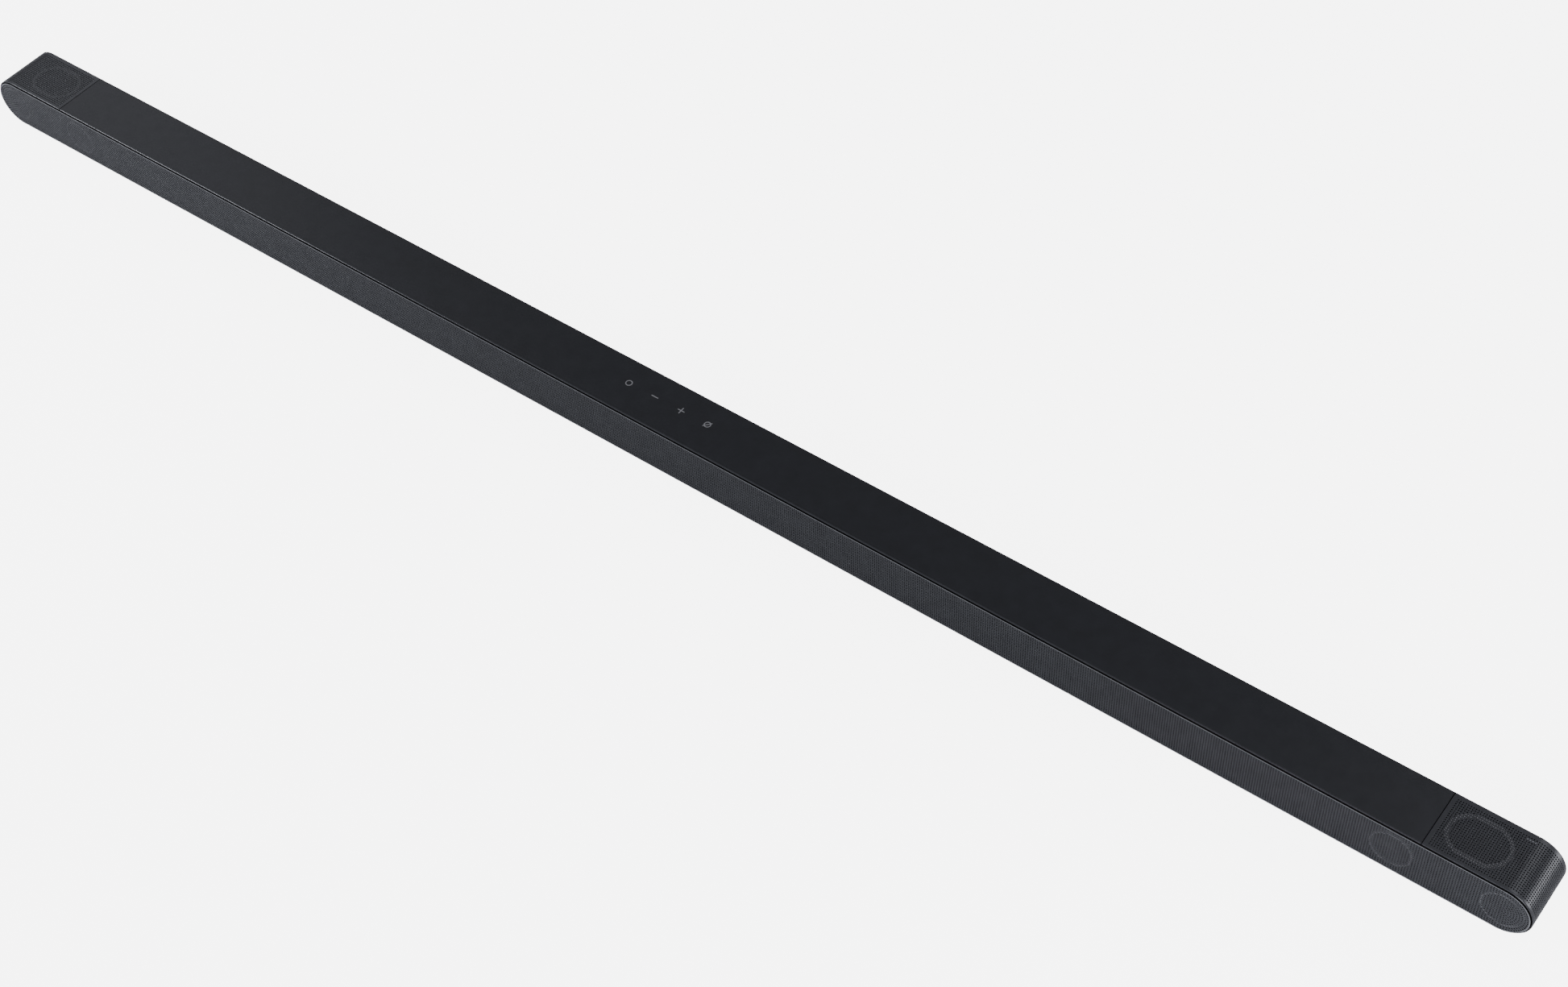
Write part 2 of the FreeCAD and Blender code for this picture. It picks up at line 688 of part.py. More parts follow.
def driver_gaskets():
    rings = [facing_front(gasket(ROUND_RIM, 0), x) for x in front_driver_places()]
    rings += [facing_up(gasket(OVAL_RIM, OVAL_STRETCH), x) for x in (-UP_DRIVER_X, UP_DRIVER_X)]
    return Part.makeCompound(rings)


def spacer_rings():
    rings = [
        facing_front(spacer_ring(ROUND_RIM, 0, ROUND_RING_TOP), x) for x in front_driver_places()
    ]
    for x in (-UP_DRIVER_X, UP_DRIVER_X):
        rings.append(facing_up(spacer_ring(OVAL_RIM, OVAL_STRETCH, OVAL_RING_TOP), x))
    return Part.makeCompound(rings)


def mount_inserts():
    """Brass M4 inserts, open at the underside."""
    inserts = []
    for x in (-INSERT_X, INSERT_X):
        start = (x, INSERT_Y, FOOT_STAND)
        body = rod(INSERT_RADIUS, start, (0, 0, 1), INSERT_LENGTH)
        inserts.append(body.cut(rod(M4_RADIUS, start, (0, 0, 1), INSERT_LENGTH)))
    return Part.makeCompound(inserts)


def foot_pad(x, z_from, z_to, grow=0.0):
    radius = FOOT_SIZE[1] / 2
    pad = stadium_face(FOOT_SIZE[0] / 2 - radius, radius + grow)
    pad.translate(Vector(x, 0, z_from))
    return pad.extrude(Vector(0, 0, z_to - z_from))


# ---- the assembly ----
def nodes():
    tube = housing_tube()
    right_grille = end_grille(tube)
    made = {
        "front_grille": front_grille(),
        "baffle": baffle(),
        "top_cover": top_cover(tube),
        "bottom_cover": bottom_cover(tube),
        "rear_cover": rear_cover(),
        "end_grille_right": right_grille,
        "end_grille_left": mirrored(right_grille),
        "acoustic_chamber_right": acoustic_chamber(),
        "acoustic_chamber_left": mirrored(acoustic_chamber()),
        "up_plate_right": up_plate(),
        "up_plate_left": mirrored(up_plate()),
        "microphone_board_right": microphone_board(),
        "microphone_board_left": mirrored(microphone_board()),
        "main_board": main_board(),
        "amplifier_board": amplifier_board(),
        "power_board": power_board(),
        "heat_spreader": heat_spreader(),
        "touch_board": box((-42, 42), (-5.5, 11), (TOP_INSIDE_Z - SMALL_BOARD_THICK, TOP_INSIDE_Z)),
        "touch_ribbon": box(
            (-4, 4), (-4.75, -4.45), (BOARD_Z + BOARD_THICK + 1.2, TOP_INSIDE_Z - SMALL_BOARD_THICK)
        ),
        "indicator_board": indicator_board(),
        "light_guide": light_guide(),
        "speaker_loom_left": loom(-1),
        "speaker_loom_right": loom(1),
        "rear_screws": rear_screws(),
        "board_screws": board_screws(),
        "driver_screws": driver_screws(),
        "driver_gaskets": driver_gaskets(),
        "spacer_rings": spacer_rings(),
        "mount_inserts": mount_inserts(),
    }
    for name, place in zip(("power_socket", "video_socket", "service_socket"), SOCKETS):
        made[name] = socket(place)
    foot_names = ("foot_mid_left", "foot_left", "foot_mid_right", "foot_right")
    for name, x in zip(foot_names, foot_places()):
        made[name] = foot_pad(x, 0, FOOT_STAND + FOOT_RECESS)
    front_names = ("end_left", "front_left", "front_right", "end_right")
    for name, x in zip(front_names, front_driver_places()):
        made["basket_" + name] = facing_front(basket(ROUND_RIM, 0, round_ears()), x)
        made["magnet_" + name] = facing_front(magnet(0), x)
        made["surround_" + name] = facing_front(surround(ROUND_RIM, 0), x)
        made["cone_" + name] = facing_front(cone(ROUND_RIM, 0), x)
    for name, x in (("up_left", -UP_DRIVER_X), ("up_right", UP_DRIVER_X)):
        made["basket_" + name] = facing_up(basket(OVAL_RIM, OVAL_STRETCH, oval_ears()), x)
        made["magnet_" + name] = facing_up(magnet(OVAL_STRETCH), x)
        made["surround_" + name] = facing_up(surround(OVAL_RIM, OVAL_STRETCH), x)
        made["cone_" + name] = facing_up(cone(OVAL_RIM, OVAL_STRETCH), x)
    return made


def main():
    os.makedirs("parts", exist_ok=True)
    for name, shape in nodes().items():
        size = shape.BoundBox
        print(
            f"{name:24s} valid={shape.isValid()} solids={len(shape.Solids)} volume={shape.Volume:.1f}"
            f" x {size.XMin:.2f}..{size.XMax:.2f} y {size.YMin:.2f}..{size.YMax:.2f}"
            f" z {size.ZMin:.2f}..{size.ZMax:.2f}"
        )
        shape.exportStep(f"parts/{name}.step")


if __name__ == "__main__":
    main()
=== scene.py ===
"""Looks of the soundbar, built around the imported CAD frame. Metres, in the frame's own axes.

Lengths that are named or written out below are in millimetres and become metres in one place, MM.
"""

import math

import bmesh
import bpy
import numpy as np
from mathutils import Matrix, Vector
from mathutils.geometry import delaunay_2d_cdt


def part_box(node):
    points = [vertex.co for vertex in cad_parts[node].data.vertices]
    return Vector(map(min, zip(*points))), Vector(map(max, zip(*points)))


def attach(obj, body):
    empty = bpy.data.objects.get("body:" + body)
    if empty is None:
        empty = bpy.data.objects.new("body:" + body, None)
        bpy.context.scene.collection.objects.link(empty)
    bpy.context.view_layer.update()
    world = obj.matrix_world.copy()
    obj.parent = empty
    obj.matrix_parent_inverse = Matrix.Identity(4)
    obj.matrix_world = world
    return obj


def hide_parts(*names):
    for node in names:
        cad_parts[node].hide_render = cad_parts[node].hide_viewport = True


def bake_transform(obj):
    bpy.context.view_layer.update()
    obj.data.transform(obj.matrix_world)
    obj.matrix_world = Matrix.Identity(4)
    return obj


MM = 0.001
HOUSING = "housing"

# ---- perforation of the grilles, in millimetres ----
FRONT_HOLE = (0.47, 0.57)                         # radius, and radius of the rounded mouth
END_HOLE = (0.40, 0.53)
MOUTH_DEPTH = 0.1
HOLE_SIDES = 12
ROW_PITCH = 1.545                                 # front grille, up and down
COLUMN_PITCH = 1.5
ROWS_EACH_WAY = 10
SHEET = 0.2                                       # thickness of the perforated front sheet
SHEET_BACK = 0.15                                 # the sheet lies this far behind the rim's crest
RIM_WIDTH = 0.9
RIM_OVERLAP = 0.1
FRONT_SECTIONS = 7
END_ROW_PITCH = 1.5
END_ROWS_EACH_WAY = 11
END_COLUMN_PITCH = 1.4815
END_FIRST_COLUMN = 3.05                           # from the end grille's seam
END_SHEET = 0.3
SEAM_EXTRA = 0.1                                  # each side of the seam on top is cut back by this

# ---- black cloth behind the end grilles, and near-black strips behind the seams on top as painted shadow, in millimetres ----
CLOTH_Y = (-11.8, 17.0)
CLOTH_DEPTH = (1.55, 1.75)
CLOTH_REACH = 20.0                                # how far the cloth runs in under the bar
STRIP_DEPTH = 0.25
STRIP_INSET = (0.3, 0.05)                         # from the front and the back edge

# ---- covers, in millimetres ----
WALL = 1.4
LIP = 0.6                                         # the front edge is thinner than the wall
REBATE_Y = -14.8
FRONT_EDGE = (0.75, 0.58)                         # rounded edge: its reach back, and its depth
BACK_EDGE = (0.42, 0.42)

# ---- drivers: heights above the surround's glued edge, in millimetres ----
DRIVERS = ("end_left", "front_left", "front_right", "end_right", "up_left", "up_right")
ROLL_WIDTH = 3.6                                  # the surround, from the cone's rim to its outer edge
ROLL_EDGE = 0.36                                  # height of the roll's outer band, where the spacer rings also start
ROLL_TOP = 0.70                                   # height of the roll near the cone's rim
CONE_FOOT = 7.55                                  # radius where the cone meets its dome's groove
DOME = 4.6
COIL = (5.0, 5.3)
COIL_END = -10.5
PIN_HOLE = 0.002                                  # a turned profile stays this far off its axis
RING_GAP = 0.05                                   # between a spacer ring and the grille's sheet
RING_FROM_RIM = 3.1
RING_WIDTH = 1.1
UP_RING_WIDTH = 1.7
UP_RING_LIP = 0.9
RING_BEVEL = 0.15

# ---- marks on top, in millimetres ----
ICON_Y = 2.6
ICON_X = (-29.9, -9.7, 10.5, 30.6)
ICON_STROKE = 0.62
ICON_RADIUS = 2.0
ICON_BAR = 5.1
MUTE_BAR = 6.3
MUTE_DEGREES = 49
ICON_RAISED = 0.03
ICON_THICK = 0.1
TIP_RADIUS = 0.36
TIP_BELOW = 0.08                                  # the light tips end this far under the surface

# ---- floor, light and camera, in metres ----
WORLD_LIGHT = 0.29
WHITE = 6.0                                       # what the camera sees of the floor and the background
LIGHT_COLOR = (0.97, 0.985, 1.05)
FLOOR_HALF = 30
SOFTBOXES = {                                     # place, target, size, power
    "softbox_left": ((-1.2, -0.8, 0.55), (-0.45, 0, 0.02), (0.5, 0.4), 12.5),
    "softbox_front": ((0.35, -1.0, 0.7), (0.4, 0, 0.02), (0.5, 0.3), 1.3),
    "softbox_front_right": ((0.85, -0.4, 0.25), (0.58, 0, 0.02), (0.25, 0.25), 1.9),
    "softbox_back_left": ((-1.9, 0.8, 1.2), (-0.4, 0, 0.03), (0.9, 0.9), 2.1),
    "softbox_back_right": ((1.0, 1.1, 1.5), (0.5, 0, 0.03), (0.9, 0.7), 5.2),
    "softbox_right": ((2.6, 1.4, 0.45), (0.55, 0, 0.03), (0.9, 0.8), 21),
}
LENS = 57.594
CAMERA_PLACE = (0.7021, -0.7623, 1.1499)
CAMERA_ACROSS = (0.80347, 0.59431, -0.03506)      # the picture's right, up and towards the viewer
CAMERA_UP = (-0.43217, 0.62276, 0.65223)
CAMERA_BACK = (0.40946, -0.50889, 0.75721)

# ---- colours, linear ----
COVER_DARK = (0.0085, 0.0090, 0.0120)
COVER_LIGHT = (0.0135, 0.0142, 0.0180)
GRILLE_DARK = (0.032, 0.033, 0.039)
GRILLE_LIGHT = (0.048, 0.050, 0.057)


# ---- the frame, and the sizes read from it ----
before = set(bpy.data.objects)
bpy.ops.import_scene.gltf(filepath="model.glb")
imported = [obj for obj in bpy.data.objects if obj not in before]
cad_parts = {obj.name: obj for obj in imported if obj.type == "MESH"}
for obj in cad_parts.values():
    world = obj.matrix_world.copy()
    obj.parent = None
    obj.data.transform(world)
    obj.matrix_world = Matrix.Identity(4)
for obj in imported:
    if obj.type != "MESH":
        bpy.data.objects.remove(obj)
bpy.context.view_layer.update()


def box_mm(node):
    low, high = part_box(node)
    return low / MM, high / MM


GRILLE_LOW, GRILLE_HIGH = box_mm("front_grille")
SIDE_LOW, SIDE_HIGH = box_mm("end_grille_right")
COVER_LOW, COVER_HIGH = box_mm("top_cover")
MID_Z = (SIDE_LOW.z + SIDE_HIGH.z) / 2
END_RADIUS = (SIDE_HIGH.z - SIDE_LOW.z) / 2
END_X = SIDE_HIGH.x - END_RADIUS
GRILLE_RADIUS = (GRILLE_HIGH.z - GRILLE_LOW.z) / 2


def seam_places():
    """Where the right end grille starts on top, and where it stops below, as x."""
    co = np.array([v.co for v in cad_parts["end_grille_right"].data.vertices]) / MM
    top = co[co[:, 2] > SIDE_HIGH.z - 0.1]
    bottom = co[co[:, 2] < SIDE_LOW.z + 0.1]
    return float(top[:, 0].min()), float(bottom[:, 0].min())


SIDE_TOP_X, SIDE_BOTTOM_X = seam_places()


# ---- materials ----
def add_node(tree, kind, **values):
    """New node. Each value sets a property of that name, or else the input socket of that name."""
    node = tree.nodes.new(kind)
    for key, value in values.items():
        if hasattr(node, key):
            setattr(node, key, value)
        else:
            node.inputs[key.replace("_", " ")].default_value = value
    return node


def ramp(tree, source, low, high, colors):
    node = tree.nodes.new("ShaderNodeValToRGB")
    node.color_ramp.elements[0].position = low
    node.color_ramp.elements[1].position = high
    for element, color in zip(node.color_ramp.elements, colors):
        element.color = (*color, 1.0)
    tree.links.new(source, node.inputs["Fac"])
    return node.outputs["Color"]


def finish(name, dark, light, rough, grain, bump=0.1, metallic=0.0, patch=9.0, **extra):
    """Material with two-tone patches, a fine grain in roughness and bump. grain and patch are in mm."""
    made = bpy.data.materials.new(name)
    made.use_nodes = True
    tree = made.node_tree
    shader = tree.nodes["Principled BSDF"]
    place = tree.nodes.new("ShaderNodeTexCoord").outputs["Object"]
    cloud = add_node(tree, "ShaderNodeTexNoise", Scale=1 / (patch * MM), Detail=3.0)
    fine = add_node(tree, "ShaderNodeTexNoise", Scale=1 / (grain * MM), Detail=2.0)
    for texture in (cloud, fine):
        tree.links.new(place, texture.inputs["Vector"])
    mixed = add_node(tree, "ShaderNodeMix", data_type="FLOAT")
    mixed.inputs[0].default_value = 0.45
    tree.links.new(cloud.outputs["Fac"], mixed.inputs[2])
    tree.links.new(fine.outputs["Fac"], mixed.inputs[3])
    color = ramp(tree, mixed.outputs[0], 0.35, 0.65, (dark, light))
    tree.links.new(color, shader.inputs["Base Color"])
    spread = add_node(tree, "ShaderNodeMapRange", From_Min=0.3, From_Max=0.7)
    spread.inputs["To Min"].default_value = rough[0]
    spread.inputs["To Max"].default_value = rough[1]
    tree.links.new(fine.outputs["Fac"], spread.inputs["Value"])
    tree.links.new(spread.outputs["Result"], shader.inputs["Roughness"])
    relief = add_node(tree, "ShaderNodeBump", Strength=bump, Distance=grain * MM * 0.3)
    tree.links.new(fine.outputs["Fac"], relief.inputs["Height"])
    tree.links.new(relief.outputs["Normal"], shader.inputs["Normal"])
    shader.inputs["Metallic"].default_value = metallic
    for key, value in extra.items():
        shader.inputs[key.replace("_", " ")].default_value = value
    return made


def make_materials():
    return {
        "cover": finish("cover", COVER_DARK, COVER_LIGHT, (0.34, 0.44), 0.35, 0.22),
        "grille": finish("grille", GRILLE_DARK, GRILLE_LIGHT, (0.34, 0.48), 0.3, 0.12),
        # rim: lighter than the grille, a painted highlight on the bead's rounded edge
        "rim": finish("rim", (0.15, 0.153, 0.165), (0.20, 0.204, 0.215), (0.28, 0.38), 0.3, 0.08),
        "side": finish("side", (0.019, 0.0195, 0.0235), (0.028, 0.029, 0.034), (0.30, 0.40), 0.35, 0.2),
        "cloth": finish("cloth", (0.012, 0.012, 0.013), (0.022, 0.022, 0.024), (0.7, 0.85), 0.25, 0.5),
        # lip: lighter than the cover, a painted highlight on the rounded front edge
        "lip": finish("lip", (0.030, 0.031, 0.036), (0.045, 0.046, 0.052), (0.22, 0.30), 0.3, 0.08),
        # painted shadow: near-black with a weak reflection, for the gap under the front edge and inside the
        # seams
        "void": finish(
            "void", (0.0015, 0.0015, 0.0016), (0.003, 0.003, 0.0031), (0.8, 0.95), 0.5,
            Specular_IOR_Level=0.1,
        ),
        "inner": finish("inner", (0.004, 0.004, 0.004), (0.008, 0.008, 0.009), (0.6, 0.8), 0.5),
        "rear": finish("rear", (0.010, 0.010, 0.011), (0.016, 0.016, 0.017), (0.5, 0.65), 0.4, 0.3),
        "board": finish("board", (0.004, 0.030, 0.016), (0.008, 0.055, 0.028), (0.3, 0.5), 0.6, 0.2),
        "spreader": finish("spreader", (0.45, 0.46, 0.47), (0.60, 0.61, 0.62), (0.3, 0.42), 0.4, 0.1, 1.0),
        "ribbon": finish("ribbon", (0.50, 0.47, 0.40), (0.62, 0.58, 0.50), (0.4, 0.5), 0.8),
        "light": finish("light", (0.26, 0.27, 0.29), (0.34, 0.35, 0.38), (0.15, 0.3), 0.5),
        "wire": finish("wire", (0.010, 0.010, 0.011), (0.03, 0.03, 0.032), (0.5, 0.7), 0.7, 0.4),
        "screw": finish("screw", (0.05, 0.05, 0.055), (0.10, 0.10, 0.11), (0.25, 0.4), 0.2, 0.1, 1.0),
        "foam": finish("foam", (0.010, 0.010, 0.010), (0.02, 0.02, 0.02), (0.85, 0.95), 0.4, 0.8),
        "fibre": finish("fibre", (0.30, 0.30, 0.31), (0.40, 0.40, 0.41), (0.5, 0.65), 0.3, 0.3),
        "dark_fibre": finish("dark_fibre", (0.17, 0.17, 0.18), (0.23, 0.23, 0.24), (0.5, 0.65), 0.3, 0.3),
        "brass": finish("brass", (0.60, 0.42, 0.16), (0.72, 0.52, 0.22), (0.25, 0.4), 0.3, 0.1, 1.0),
        "shell": finish("shell", (0.42, 0.42, 0.43), (0.55, 0.55, 0.56), (0.25, 0.35), 0.3, 0.1, 1.0),
        "rubber": finish("rubber", (0.012, 0.012, 0.012), (0.022, 0.022, 0.023), (0.75, 0.9), 0.3, 0.5),
        "basket": finish("basket", (0.014, 0.014, 0.015), (0.025, 0.025, 0.027), (0.45, 0.6), 0.4, 0.2),
        "magnet": finish("magnet", (0.30, 0.30, 0.31), (0.42, 0.42, 0.43), (0.3, 0.45), 0.3, 0.1, 1.0),
        "surround": finish("surround", (0.014, 0.014, 0.015), (0.024, 0.024, 0.026), (0.5, 0.65), 0.3, 0.3),
        "cone": finish("cone", (0.020, 0.020, 0.022), (0.036, 0.036, 0.039), (0.55, 0.7), 0.5, 0.6),
        "icon": finish("icon", (0.22, 0.22, 0.23), (0.30, 0.30, 0.31), (0.5, 0.6), 0.2, 0.05),
    }


MATERIALS = make_materials()

CAD_FINISH = {
    "cover": ["bottom_cover"],
    "rear": ["rear_cover"],
    "inner": [
        "baffle", "acoustic_chamber_left", "acoustic_chamber_right", "up_plate_left", "up_plate_right",
    ],
    "board": [
        "main_board", "amplifier_board", "power_board", "touch_board", "indicator_board",
        "microphone_board_left", "microphone_board_right",
    ],
    "spreader": ["heat_spreader"],
    "ribbon": ["touch_ribbon"],
    "wire": ["speaker_loom_left", "speaker_loom_right"],
    "light": ["light_guide"],
    "screw": ["rear_screws", "board_screws", "driver_screws"],
    "foam": ["driver_gaskets"],
    "fibre": ["spacer_rings"],
    "brass": ["mount_inserts"],
    "shell": ["power_socket", "video_socket", "service_socket"],
    "rubber": ["foot_left", "foot_mid_left", "foot_mid_right", "foot_right"],
}


def dress_cad_nodes():
    finish_of = {node: key for key, nodes in CAD_FINISH.items() for node in nodes}
    for name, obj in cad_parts.items():
        kind = name.split("_")[0]
        usual = kind if kind in ("basket", "magnet") else "inner"
        obj.data.materials.clear()
        obj.data.materials.append(MATERIALS[finish_of.get(name, usual)])


# ---- mesh helpers ----
def piece(name, points, faces, material, body=HOUSING):
    """New object from points in millimetres."""
    mesh = bpy.data.meshes.new(name)
    mesh.from_pydata((np.asarray(points, float) * MM).tolist(), [], faces)
    mesh.materials.append(MATERIALS[material])
    obj = bpy.data.objects.new(name, mesh)
    bpy.context.scene.collection.objects.link(obj)
    if body:
        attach(obj, body)
    return obj


def face_outwards(obj):
    shape = bmesh.new()
    shape.from_mesh(obj.data)
    bmesh.ops.recalc_face_normals(shape, faces=shape.faces)
    shape.to_mesh(obj.data)
    shape.free()


def smooth_by_angle(obj, degrees=35.0):
    """Smooth faces, with a sharp edge wherever two faces meet at more than the angle."""
    mesh = obj.data
    mesh.shade_smooth()
    shape = bmesh.new()
    shape.from_mesh(mesh)
    for edge in shape.edges:
        if len(edge.link_faces) == 2 and edge.calc_face_angle(0.0) > math.radians(degrees):
            edge.smooth = False
    shape.to_mesh(mesh)
    shape.free()


def shaped(name, points, faces, material, slot, node=None, body=HOUSING, degrees=35.0):
    """Piece with its faces outwards and its sharp edges kept, for a CAD node if one is given."""
    obj = piece(name, points, faces, material, body)
    face_outwards(obj)
    smooth_by_angle(obj, degrees)
    if node:
        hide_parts(node)
    return obj


def loft(rings, around, closed):
    """Quads between neighbouring rings of a closed stack, each ring with around points."""
    faces = []
    for k in range(rings):
        n = (k + 1) % rings
        for i in range(around if closed else around - 1):
            j = (i + 1) % around
            faces.append([k * around + i, k * around + j, n * around + j, n * around + i])
    return faces


# ---- perforated sheets ----
def hole_ring(u, v, mouth):
    steps = (np.arange(HOLE_SIDES) + 0.5) * 2 * math.pi / HOLE_SIDES
    return np.stack([u + mouth * np.cos(steps), v + mouth * np.sin(steps)], -1)


def grid_sheet(columns, rows, column_ends, row_ends, mouth):
    """Flat sheet with a hole at each column and row: points, faces, hole loops and the border loop."""
    us = [column_ends[0], *((columns[1:] + columns[:-1]) / 2), column_ends[1]]
    vs = [row_ends[0], *((rows[1:] + rows[:-1]) / 2), row_ends[1]]
    wide = len(us)
    high = len(vs)
    points = [(u, v) for v in vs for u in us]
    faces = []
    loops = []
    quarter = HOLE_SIDES // 4
    for j, v in enumerate(rows):
        for i, u in enumerate(columns):
            base = len(points)
            points.extend(map(tuple, hole_ring(u, v, mouth)))
            loops.append(list(range(base, base + HOLE_SIDES)))
            low = j * wide + i
            corners = [low + wide + 1, low + wide, low, low + 1]
            for q in range(4):
                first = 1 + q * quarter
                ring = [base + (first + k) % HOLE_SIDES for k in range(quarter + 1)]
                faces.append([corners[q], corners[(q + 1) % 4], *reversed(ring)])
    border = [i for i in range(wide)]
    border += [j * wide + wide - 1 for j in range(1, high)]
    border += [(high - 1) * wide + i for i in range(wide - 2, -1, -1)]
    border += [j * wide for j in range(high - 2, 0, -1)]
    return np.array(points), faces, loops, border


def outline_sheet(outline, holes, mouth):
    """Flat sheet inside a closed outline, with holes at any places, cut into triangles."""
    points = [tuple(p) for p in outline]
    loops = [list(range(len(points)))]
    for u, v in holes:
        base = len(points)
        points.extend(map(tuple, hole_ring(u, v, mouth)))
        loops.append(list(range(base, base + HOLE_SIDES)))
    edges = [(a, b) for loop in loops for a, b in zip(loop, loop[1:] + loop[:1])]
    flat = [Vector(p) for p in points]
    triangles = delaunay_2d_cdt(flat, edges, [], 1, 1e-6)[2]
    owner = {}
    for number, loop in enumerate(loops[1:], 1):
        for index in loop:
            owner[index] = number
    kept = []
    for triangle in triangles:
        owners = {owner.get(index, 0) for index in triangle}
        if len(owners) > 1 or owners == {0}:
            kept.append(list(triangle))
    return np.array(points), kept, loops[1:], loops[0]


def bands(upper, lower):
    """Quads between matching closed rings of point numbers."""
    quads = [upper, np.roll(upper, -1, 1), np.roll(lower, -1, 1), lower]
    return np.stack(quads, -1).reshape(-1, 4).tolist()


def thick_sheet(flat, place, depth, hole):
    """Solid from a flat sheet, with rounded mouths on its holes. place(points, depth) bends it to shape."""
    points, faces, loops, border = flat
    rings = np.array(loops)
    centres = points[rings].mean(1, keepdims=True)
    narrow = centres + (points[rings] - centres) * (hole[0] / hole[1])
    back = points.copy()
    back[rings] = narrow
    count = len(points)
    throats = place(narrow.reshape(-1, 2), MOUTH_DEPTH)
    solid = np.vstack([place(points, 0.0), place(back, depth), throats])
    throat = 2 * count + np.arange(rings.size).reshape(rings.shape)
    edge = np.array([border])
    all_faces = [list(f) for f in faces]
    all_faces += [[i + count for i in reversed(f)] for f in faces]
    all_faces += bands(rings, throat)
    all_faces += bands(throat, rings + count)
    all_faces += bands(edge + count, edge)
    return solid, all_faces, 2 * len(faces)


# ---- front grille ----
def stadium(radius, steps=48):
    """Outline of a bar with half-round ends, as (x, z) about the bar's middle height."""
    angles = np.linspace(-math.pi / 2, math.pi / 2, steps + 1)
    right = [(END_X + radius * math.cos(a), radius * math.sin(a)) for a in angles]
    return np.array(right + [(-x, -z) for x, z in right])


def swept_rim(profile):
    """Closed (inset, y) profile carried round the grille's outline."""
    rings = [stadium(GRILLE_RADIUS - inset) for inset, _ in profile]
    points = []
    for ring, (_, y) in zip(rings, profile):
        points.extend((x, y, z + MID_Z) for x, z in ring)
    return points, loft(len(profile), len(rings[0]), True)


def front_rim():
    """Rounded bead round the sheet, lighter than the grille as a painted highlight, on a frame that reaches
    back into the housing, near-black as a painted shadow for the gap.
    """
    front = GRILLE_LOW.y
    back = GRILLE_HIGH.y
    bead = [
        (0.05, front + 0.5), (0.05, front + 0.12), (0.08, front + 0.05), (0.15, front + 0.01), (0.25, front),
        (0.55, front + 0.01), (0.72, front + 0.06), (RIM_WIDTH, front + 0.22), (RIM_WIDTH, front + 0.5),
    ]
    holder = [
        (0.0, back), (0.0, front + 0.14), (0.05, front + 0.14), (0.05, front + 0.5),
        (RIM_WIDTH - 0.05, front + 0.5), (RIM_WIDTH - 0.05, front + 0.8), (0.6, front + 0.9), (0.6, back),
    ]
    return [
        shaped("front_grille_rim", *swept_rim(bead), "rim", "grille_metal"),
        shaped("front_grille_frame", *swept_rim(holder), "void", "grille_metal"),
    ]


def on_front(points, depth):
    y = GRILLE_LOW.y + SHEET_BACK + depth
    return np.column_stack([points[:, 0], np.full(len(points), y), points[:, 1] + MID_Z])


def front_columns():
    count = round(2 * END_X / COLUMN_PITCH)
    return np.linspace(-END_X, END_X, count + 1)


def end_cap_flat(edge_x, edge_z, reach):
    """Right end of the front sheet: the holes lie on half rings, three more on each ring outwards."""
    start = math.acos((edge_x - END_X) / reach)
    arc = [
        (END_X + reach * math.cos(a), reach * math.sin(a)) for a in np.linspace(-start, start, 65)
    ]
    arc[0] = (edge_x, edge_z[0])
    arc[-1] = (edge_x, edge_z[-1])
    outline = arc + [(edge_x, z) for z in edge_z[-2:0:-1]]
    holes = []
    for ring in range(1, ROWS_EACH_WAY + 1):
        for k in range(1, 3 * ring):
            a = math.radians(-90 + 60 * k / ring)
            holes.append((END_X + ring * ROW_PITCH * math.cos(a), ring * ROW_PITCH * math.sin(a)))
    return outline_sheet(outline, holes, FRONT_HOLE[1])


def front_grille():
    reach = GRILLE_RADIUS - RIM_WIDTH + RIM_OVERLAP
    rows = ROW_PITCH * np.arange(-ROWS_EACH_WAY, ROWS_EACH_WAY + 1)
    columns = front_columns()
    half = (columns[1] - columns[0]) / 2
    groups = np.array_split(columns, FRONT_SECTIONS)
    made = front_rim()
    for number, group in enumerate(groups, 1):
        ends = (group[0] - half, group[-1] + half)
        flat = grid_sheet(group, rows, ends, (-reach, reach), FRONT_HOLE[1])
        points, faces, _ = thick_sheet(flat, on_front, SHEET, FRONT_HOLE)
        made.append(piece(f"front_grille_mesh_{number}", points, faces, "grille"))
    edge_z = [-reach, *((rows[1:] + rows[:-1]) / 2), reach]
    cap = end_cap_flat(columns[-1] + half, edge_z, reach)
    for side, word in ((1, "right"), (-1, "left")):
        points, faces, _ = thick_sheet(cap, on_front, SHEET, FRONT_HOLE)
        points[:, 0] *= side
        if side < 0:
            faces = [face[::-1] for face in faces]
        made.append(piece(f"front_grille_end_{word}", points, faces, "grille"))
    for obj in made:
        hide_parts("front_grille")


# ---- end grilles, unrolled: u runs over the top, round the end and under it ----
def around_end(u, depth):
    """x and z on the right end, at arc length u past the flat top and at a depth under the surface."""
    angle = np.clip(u / END_RADIUS, 0, math.pi)
    radius = END_RADIUS - depth
    x = END_X + radius * np.sin(angle)
    z = MID_Z + radius * np.cos(angle)
    x = x + np.minimum(u, 0) - np.maximum(u - math.pi * END_RADIUS, 0)
    return x, z


def on_end(points, depth):
    x, z = around_end(points[:, 0], depth)
    return np.column_stack([x, points[:, 1], z])


